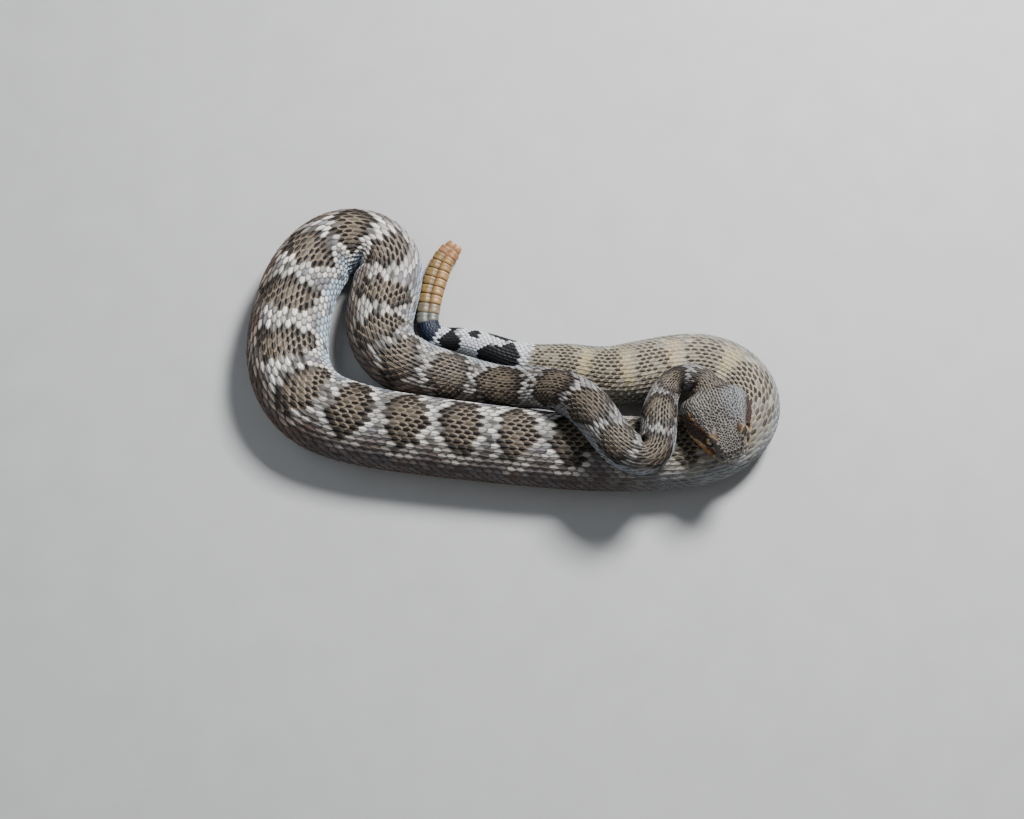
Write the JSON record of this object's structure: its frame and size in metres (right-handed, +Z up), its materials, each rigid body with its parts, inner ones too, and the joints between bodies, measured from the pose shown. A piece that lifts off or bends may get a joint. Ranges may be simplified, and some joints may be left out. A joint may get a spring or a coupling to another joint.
{
  "type": "rattlesnake",
  "caption": "Life-size western diamondback rattlesnake at rest, lying in folded coils with its head on the coils and its rattle on its side.",
  "frame": {"origin": "on the floor under the middle of the animal's footprint", "axes": "+Z up, +X from the outer loop towards the head's end, +Y from the long lower run towards the rattle"},
  "size_m": [0.3156, 0.1771, 0.0569],
  "materials": {
    "scaled_skin": "dry keeled scales, dull",
    "tail_skin": "dry scales, ash white with black rings",
    "jaw_skin": "smooth pale scales",
    "eye": "wet gloss",
    "rattle_horn": "dry horn with a soft sheen"
  },
  "bodies": {
    "root": {"head": "scaled_skin", "lower_jaw": "jaw_skin", "eye_left": "eye", "eye_right": "eye", "neck": "scaled_skin", "front_bend": "scaled_skin", "middle_run": "scaled_skin", "inner_loop": "scaled_skin", "outer_loop": "scaled_skin", "lower_run": "scaled_skin", "right_loop": "scaled_skin", "rear_body": "scaled_skin", "tail": "tail_skin", "rattle": "rattle_horn"}
  },
  "joints": []
}
